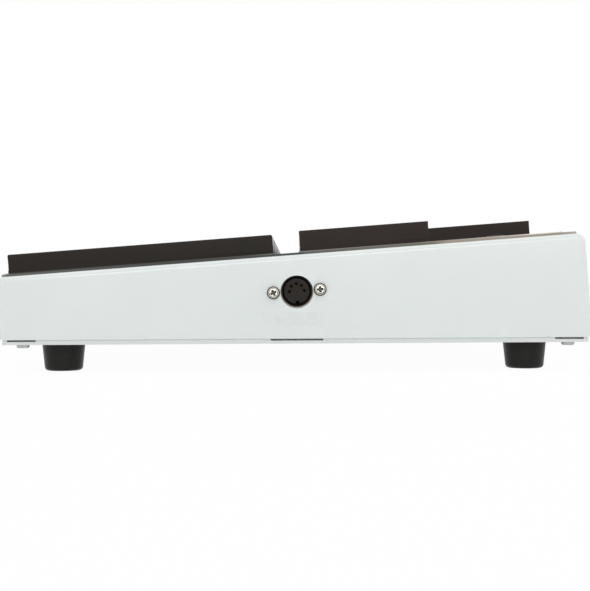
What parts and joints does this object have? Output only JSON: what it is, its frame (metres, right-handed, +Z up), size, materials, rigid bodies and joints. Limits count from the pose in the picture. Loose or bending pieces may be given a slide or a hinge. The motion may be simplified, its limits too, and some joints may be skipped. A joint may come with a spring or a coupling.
{
  "type": "midi mallet controller",
  "caption": "Low sheet-metal case on tall rubber feet with two rows of flat rubber playing pads laid out like a vibraphone, and a 5-pin socket in the end panel.",
  "frame": {"origin": "middle of the footprint, on the floor that the feet stand on", "axes": "+X towards the player's right (treble) end, +Y away from the player, +Z up"},
  "size_m": [0.636, 0.2875, 0.0763],
  "materials": {
    "pad_rubber": "matt dark grey-brown rubber",
    "case_paint": "white satin paint",
    "plate_paint": "light grey satin paint",
    "overlay_film": "matt dark grey film",
    "sensor_film": "amber polyester film with printed tracks",
    "foot_rubber": "matt black rubber",
    "screw_steel": "zinc-plated",
    "board_laminate": "green solder mask",
    "chip_epoxy": "matt black",
    "connector_plastic": "cream moulded plastic",
    "socket_metal": "nickel-plated",
    "insert_plastic": "dark brown moulded plastic",
    "contact_metal": "brass",
    "lead_jacket": "black PVC",
    "tape_film": "clear tape, satin",
    "switch_plastic": "black",
    "jack_plastic": "black",
    "nut_metal": "nickel-plated",
    "display_plastic": "dark red face",
    "window_plastic": "dark red transparent acrylic",
    "button_plastic": "dark grey"
  },
  "bodies": {
    "casing": {"top_cover": "case_paint", "bottom_plate": "plate_paint", "overlay_sheet": "overlay_film", "sensor_strip_naturals": "sensor_film", "sensor_strip_accidentals": "sensor_film", "foot_front_left": "foot_rubber", "foot_front_right": "foot_rubber", "foot_rear_left": "foot_rubber", "foot_rear_right": "foot_rubber", "foot_screws": "screw_steel", "cover_screws": "screw_steel", "main_board": "board_laminate", "board_standoffs": "screw_steel", "board_screws": "screw_steel", "processor_chip": "chip_epoxy", "input_chips": "chip_epoxy", "tail_sockets": "connector_plastic", "midi_socket_frame": "socket_metal", "midi_socket_insert": "insert_plastic", "midi_socket_contacts": "contact_metal", "midi_socket_screws": "socket_metal", "midi_socket_nuts": "nut_metal", "midi_socket_lead": "lead_jacket", "label_tape": "tape_film", "power_inlet": "jack_plastic", "power_switch_body": "switch_plastic", "pedal_jacks": "jack_plastic", "pedal_jack_nuts": "nut_metal", "led_display": "display_plastic", "display_window": "window_plastic", "button_switches": "jack_plastic"},
    "pad_f3": {"pad_f3": "pad_rubber"},
    "pad_g3": {"pad_g3": "pad_rubber"},
    "pad_a3": {"pad_a3": "pad_rubber"},
    "pad_b3": {"pad_b3": "pad_rubber"},
    "pad_c4": {"pad_c4": "pad_rubber"},
    "pad_d4": {"pad_d4": "pad_rubber"},
    "pad_e4": {"pad_e4": "pad_rubber"},
    "pad_f4": {"pad_f4": "pad_rubber"},
    "pad_g4": {"pad_g4": "pad_rubber"},
    "pad_a4": {"pad_a4": "pad_rubber"},
    "pad_b4": {"pad_b4": "pad_rubber"},
    "pad_c5": {"pad_c5": "pad_rubber"},
    "pad_d5": {"pad_d5": "pad_rubber"},
    "pad_e5": {"pad_e5": "pad_rubber"},
    "pad_f5": {"pad_f5": "pad_rubber"},
    "pad_f_sharp3": {"pad_f_sharp3": "pad_rubber"},
    "pad_g_sharp3": {"pad_g_sharp3": "pad_rubber"},
    "pad_a_sharp3": {"pad_a_sharp3": "pad_rubber"},
    "pad_c_sharp4": {"pad_c_sharp4": "pad_rubber"},
    "pad_d_sharp4": {"pad_d_sharp4": "pad_rubber"},
    "pad_f_sharp4": {"pad_f_sharp4": "pad_rubber"},
    "pad_g_sharp4": {"pad_g_sharp4": "pad_rubber"},
    "pad_a_sharp4": {"pad_a_sharp4": "pad_rubber"},
    "pad_c_sharp5": {"pad_c_sharp5": "pad_rubber"},
    "pad_d_sharp5": {"pad_d_sharp5": "pad_rubber"},
    "pad_auxiliary": {"pad_auxiliary": "pad_rubber"},
    "button_minus": {"button_minus": "button_plastic"},
    "button_plus": {"button_plus": "button_plastic"},
    "power_switch_rocker": {"power_switch_rocker": "switch_plastic"}
  },
  "joints": [
    {"name": "pad_f3_press", "type": "slide", "parent": "casing", "child": "pad_f3", "axis": [0, -0.0698, 0.9976], "range_m": [-0.0005, 0], "stiffness_N_per_m": 5000, "springref_m": 0.0003},
    {"name": "pad_g3_press", "type": "slide", "parent": "casing", "child": "pad_g3", "axis": [0, -0.0698, 0.9976], "range_m": [-0.0005, 0], "stiffness_N_per_m": 5000, "springref_m": 0.0003},
    {"name": "pad_a3_press", "type": "slide", "parent": "casing", "child": "pad_a3", "axis": [0, -0.0698, 0.9976], "range_m": [-0.0005, 0], "stiffness_N_per_m": 5000, "springref_m": 0.0003},
    {"name": "pad_b3_press", "type": "slide", "parent": "casing", "child": "pad_b3", "axis": [0, -0.0698, 0.9976], "range_m": [-0.0005, 0], "stiffness_N_per_m": 5000, "springref_m": 0.0003},
    {"name": "pad_c4_press", "type": "slide", "parent": "casing", "child": "pad_c4", "axis": [0, -0.0698, 0.9976], "range_m": [-0.0005, 0], "stiffness_N_per_m": 5000, "springref_m": 0.0003},
    {"name": "pad_d4_press", "type": "slide", "parent": "casing", "child": "pad_d4", "axis": [0, -0.0698, 0.9976], "range_m": [-0.0005, 0], "stiffness_N_per_m": 5000, "springref_m": 0.0003},
    {"name": "pad_e4_press", "type": "slide", "parent": "casing", "child": "pad_e4", "axis": [0, -0.0698, 0.9976], "range_m": [-0.0005, 0], "stiffness_N_per_m": 5000, "springref_m": 0.0003},
    {"name": "pad_f4_press", "type": "slide", "parent": "casing", "child": "pad_f4", "axis": [0, -0.0698, 0.9976], "range_m": [-0.0005, 0], "stiffness_N_per_m": 5000, "springref_m": 0.0003},
    {"name": "pad_g4_press", "type": "slide", "parent": "casing", "child": "pad_g4", "axis": [0, -0.0698, 0.9976], "range_m": [-0.0005, 0], "stiffness_N_per_m": 5000, "springref_m": 0.0003},
    {"name": "pad_a4_press", "type": "slide", "parent": "casing", "child": "pad_a4", "axis": [0, -0.0698, 0.9976], "range_m": [-0.0005, 0], "stiffness_N_per_m": 5000, "springref_m": 0.0003},
    {"name": "pad_b4_press", "type": "slide", "parent": "casing", "child": "pad_b4", "axis": [0, -0.0698, 0.9976], "range_m": [-0.0005, 0], "stiffness_N_per_m": 5000, "springref_m": 0.0003},
    {"name": "pad_c5_press", "type": "slide", "parent": "casing", "child": "pad_c5", "axis": [0, -0.0698, 0.9976], "range_m": [-0.0005, 0], "stiffness_N_per_m": 5000, "springref_m": 0.0003},
    {"name": "pad_d5_press", "type": "slide", "parent": "casing", "child": "pad_d5", "axis": [0, -0.0698, 0.9976], "range_m": [-0.0005, 0], "stiffness_N_per_m": 5000, "springref_m": 0.0003},
    {"name": "pad_e5_press", "type": "slide", "parent": "casing", "child": "pad_e5", "axis": [0, -0.0698, 0.9976], "range_m": [-0.0005, 0], "stiffness_N_per_m": 5000, "springref_m": 0.0003},
    {"name": "pad_f5_press", "type": "slide", "parent": "casing", "child": "pad_f5", "axis": [0, -0.0698, 0.9976], "range_m": [-0.0005, 0], "stiffness_N_per_m": 5000, "springref_m": 0.0003},
    {"name": "pad_f_sharp3_press", "type": "slide", "parent": "casing", "child": "pad_f_sharp3", "axis": [0, -0.0698, 0.9976], "range_m": [-0.0005, 0], "stiffness_N_per_m": 5000, "springref_m": 0.0003},
    {"name": "pad_g_sharp3_press", "type": "slide", "parent": "casing", "child": "pad_g_sharp3", "axis": [0, -0.0698, 0.9976], "range_m": [-0.0005, 0], "stiffness_N_per_m": 5000, "springref_m": 0.0003},
    {"name": "pad_a_sharp3_press", "type": "slide", "parent": "casing", "child": "pad_a_sharp3", "axis": [0, -0.0698, 0.9976], "range_m": [-0.0005, 0], "stiffness_N_per_m": 5000, "springref_m": 0.0003},
    {"name": "pad_c_sharp4_press", "type": "slide", "parent": "casing", "child": "pad_c_sharp4", "axis": [0, -0.0698, 0.9976], "range_m": [-0.0005, 0], "stiffness_N_per_m": 5000, "springref_m": 0.0003},
    {"name": "pad_d_sharp4_press", "type": "slide", "parent": "casing", "child": "pad_d_sharp4", "axis": [0, -0.0698, 0.9976], "range_m": [-0.0005, 0], "stiffness_N_per_m": 5000, "springref_m": 0.0003},
    {"name": "pad_f_sharp4_press", "type": "slide", "parent": "casing", "child": "pad_f_sharp4", "axis": [0, -0.0698, 0.9976], "range_m": [-0.0005, 0], "stiffness_N_per_m": 5000, "springref_m": 0.0003},
    {"name": "pad_g_sharp4_press", "type": "slide", "parent": "casing", "child": "pad_g_sharp4", "axis": [0, -0.0698, 0.9976], "range_m": [-0.0005, 0], "stiffness_N_per_m": 5000, "springref_m": 0.0003},
    {"name": "pad_a_sharp4_press", "type": "slide", "parent": "casing", "child": "pad_a_sharp4", "axis": [0, -0.0698, 0.9976], "range_m": [-0.0005, 0], "stiffness_N_per_m": 5000, "springref_m": 0.0003},
    {"name": "pad_c_sharp5_press", "type": "slide", "parent": "casing", "child": "pad_c_sharp5", "axis": [0, -0.0698, 0.9976], "range_m": [-0.0005, 0], "stiffness_N_per_m": 5000, "springref_m": 0.0003},
    {"name": "pad_d_sharp5_press", "type": "slide", "parent": "casing", "child": "pad_d_sharp5", "axis": [0, -0.0698, 0.9976], "range_m": [-0.0005, 0], "stiffness_N_per_m": 5000, "springref_m": 0.0003},
    {"name": "pad_auxiliary_press", "type": "slide", "parent": "casing", "child": "pad_auxiliary", "axis": [0, -0.0698, 0.9976], "range_m": [-0.0005, 0], "stiffness_N_per_m": 5000, "springref_m": 0.0003},
    {"name": "button_minus_press", "type": "slide", "parent": "casing", "child": "button_minus", "axis": [0, -0.0698, 0.9976], "range_m": [-0.0006, 0], "stiffness_N_per_m": 800, "springref_m": 0.0005},
    {"name": "button_plus_press", "type": "slide", "parent": "casing", "child": "button_plus", "axis": [0, -0.0698, 0.9976], "range_m": [-0.0006, 0], "stiffness_N_per_m": 800, "springref_m": 0.0005},
    {"name": "power_switch_rock", "type": "hinge", "parent": "casing", "child": "power_switch_rocker", "pos_m": [0.27, 0.1384, 0.04528], "axis": [0, -0.0698, 0.9976], "range_deg": [0, 16]}
  ]
}
